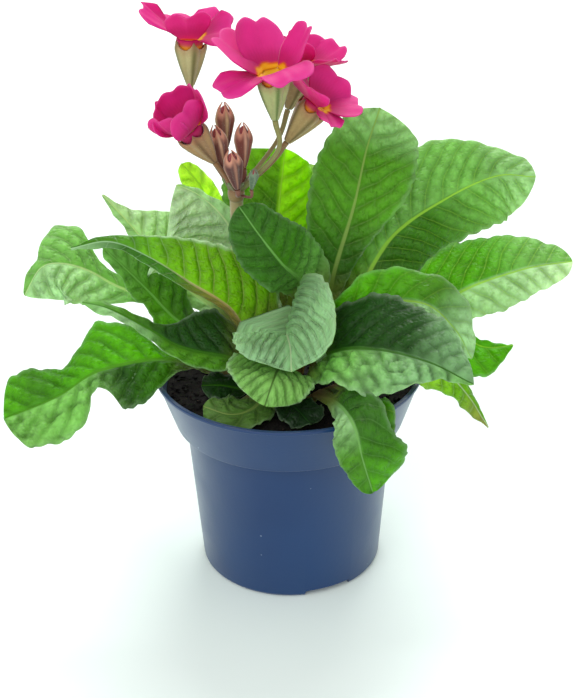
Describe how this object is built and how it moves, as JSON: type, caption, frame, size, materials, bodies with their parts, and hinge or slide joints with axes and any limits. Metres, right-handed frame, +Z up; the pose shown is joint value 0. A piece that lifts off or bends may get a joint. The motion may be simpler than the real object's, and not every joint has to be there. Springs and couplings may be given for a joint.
{
  "type": "potted oxlip",
  "caption": "Flowering primula in a round nursery pot: a rosette of long wrinkled leaves round a central stalk that carries open, notched flowers and closed buds.",
  "frame": {"origin": "middle of the pot's foot, on the plane that the pot stands on", "axes": "+Z up along the pot's axis; -Y is the front, the side that the picture shows; +X is the viewer's right"},
  "size_m": [0.2208, 0.1538, 0.2271],
  "materials": {
    "pot": "satin thermoformed plastic, dark blue",
    "soil": "moist fibrous peat, black-brown",
    "leaf": "wrinkled leaf, mid green with a soft sheen",
    "stalk": "downy stalk, olive turning reddish brown",
    "calyx": "ribbed and downy, olive with paler ribs",
    "petal": "velvety petal, magenta with a yellow eye",
    "bud": "ribbed bud, reddish brown with salmon tips"
  },
  "bodies": {
    "root": {"pot": "pot", "soil": "soil", "leaf_01": "leaf", "leaf_02": "leaf", "leaf_03": "leaf", "leaf_04": "leaf", "leaf_05": "leaf", "leaf_06": "leaf", "leaf_07": "leaf", "leaf_08": "leaf", "leaf_09": "leaf", "leaf_10": "leaf", "leaf_11": "leaf", "leaf_12": "leaf", "leaf_13": "leaf", "leaf_14": "leaf", "leaf_15": "leaf", "leaf_16": "leaf", "leaf_17": "leaf", "leaf_18": "leaf", "leaf_19": "leaf", "leaf_20": "leaf", "leaf_21": "leaf", "leaf_22": "leaf", "leaf_23": "leaf", "leaf_24": "leaf", "leaf_25": "leaf", "leaf_26": "leaf", "leaf_27": "leaf", "leaf_28": "leaf", "leaf_29": "leaf", "flower_stalk": "stalk", "calyx_upper_left": "calyx", "corolla_upper_left": "petal", "calyx_half_open": "calyx", "corolla_half_open": "petal", "calyx_middle": "calyx", "corolla_middle": "petal", "calyx_back": "calyx", "corolla_back": "petal", "calyx_right": "calyx", "corolla_right": "petal", "bud_1": "bud", "bud_2": "bud", "bud_3": "bud", "bud_4": "bud", "bud_5": "bud"}
  },
  "joints": []
}
